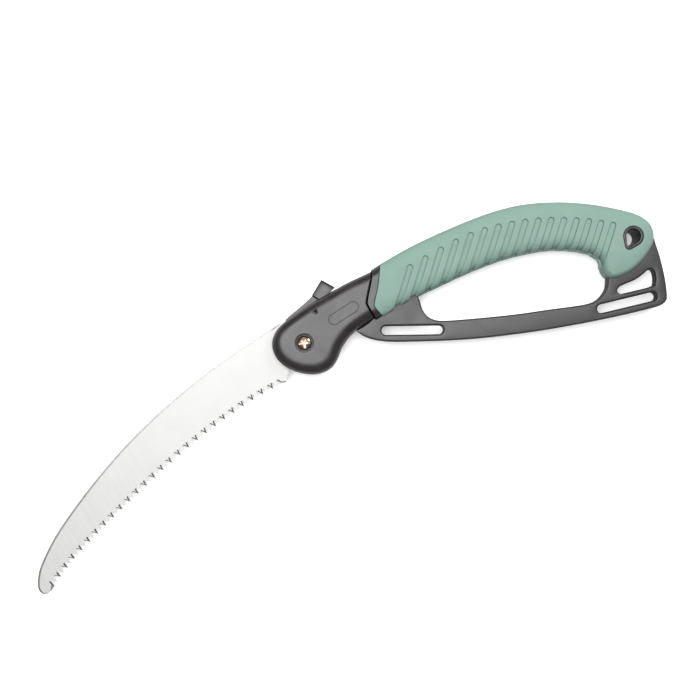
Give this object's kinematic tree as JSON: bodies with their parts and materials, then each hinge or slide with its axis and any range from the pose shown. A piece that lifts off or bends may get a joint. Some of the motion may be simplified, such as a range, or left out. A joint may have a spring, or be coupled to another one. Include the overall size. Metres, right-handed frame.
{
  "type": "folding pruning saw",
  "caption": "Open folding pruning saw: curved pull-stroke blade, pivot housing with a lock lever, grooved soft grip, and a flat knuckle guard with strap slots and a lanyard eyelet.",
  "frame": {"origin": "bottom centre of the open saw's bounding box; the saw lies on its far side", "axes": "+X from the blade towards the butt of the handle, +Y away from the guard, towards the back of the hand, +Z out of the near side, along the pivot"},
  "size_m": [0.5132, 0.1902, 0.026],
  "materials": {
    "steel": "satin, cross-ground",
    "brass": "plated, bright",
    "zinc": "zinc plated, satin",
    "spring_steel": "dark, drawn",
    "nylon": "fine moulded grain",
    "guard_nylon": "fine moulded grain",
    "rubber": "soft matte"
  },
  "bodies": {
    "handle": {"pivot_screw": "brass", "pivot_sleeve_nut": "brass", "pivot_washer_near": "zinc", "pivot_washer_far": "zinc", "stop_pin": "zinc", "housing_screw_upper": "zinc", "housing_screw_lower": "zinc", "handle_screw_front": "zinc", "handle_screw_middle": "zinc", "handle_screw_rear": "zinc", "guard_screw_front": "zinc", "guard_screw_middle": "zinc", "lever_pin": "spring_steel", "housing_near": "nylon", "housing_far": "nylon", "handle_core_near": "nylon", "handle_core_far": "nylon", "lanyard_eyelet_near": "nylon", "lanyard_eyelet_far": "nylon", "guard_near": "guard_nylon", "guard_far": "guard_nylon", "grip_near": "rubber", "grip_far": "rubber"},
    "blade": {"blade": "steel"},
    "lock_lever": {"lock_lever": "nylon", "lever_spring": "spring_steel"}
  },
  "joints": [
    {"name": "blade_pivot", "type": "hinge", "parent": "handle", "child": "blade", "pos_m": [-0.01595, 0.03667, 0.013], "axis": [0, 0, 1], "range_deg": [0, 150]},
    {"name": "lever_pivot", "type": "hinge", "parent": "handle", "child": "lock_lever", "pos_m": [-0.00195, 0.05727, 0.013], "axis": [0, 0, -1], "range_deg": [0, 10], "stiffness_Nm_per_rad": 0.15, "springref_deg": -20.05}
  ]
}
